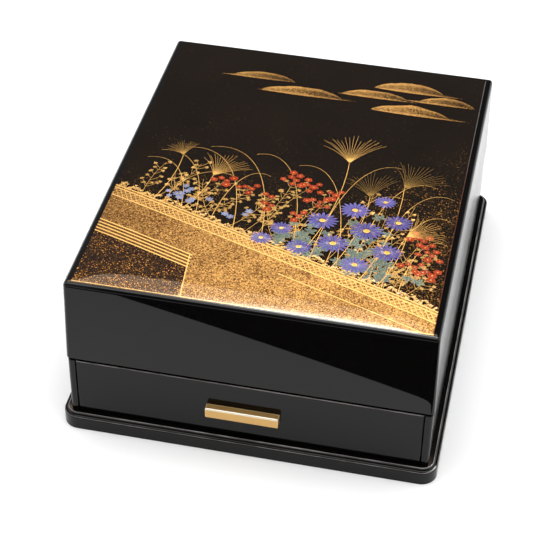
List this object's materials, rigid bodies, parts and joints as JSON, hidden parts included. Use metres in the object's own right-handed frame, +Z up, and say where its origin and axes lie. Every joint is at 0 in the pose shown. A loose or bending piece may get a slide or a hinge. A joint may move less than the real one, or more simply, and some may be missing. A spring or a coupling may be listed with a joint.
{
  "type": "stationery box",
  "caption": "Black lacquer stationery box with a deep lift-off lid over an open compartment, a drawer with a bar pull below, and a moulded base.",
  "frame": {"origin": "middle of the base's underside, on the surface that the box stands on", "axes": "+Z up, -Y out of the front where the drawer opens, +X to the right when facing the front"},
  "size_m": [0.2764, 0.3344, 0.1342],
  "materials": {
    "gloss_lacquer": "mirror-polished black lacquer on wood, with gold and coloured sprinkled decoration on the lid's top",
    "satin_lacquer": "black lacquer on wood, polished outside and satin inside",
    "gilt_metal": "finely brushed, gold-coloured"
  },
  "bodies": {
    "box": {"base": "gloss_lacquer", "case": "satin_lacquer", "lid": "gloss_lacquer"},
    "drawer": {"drawer": "gloss_lacquer", "drawer_pull": "gilt_metal"}
  },
  "joints": [
    {"name": "drawer_slide", "type": "slide", "parent": "box", "child": "drawer", "axis": [0, -1, 0], "range_m": [0, 0.25]}
  ]
}
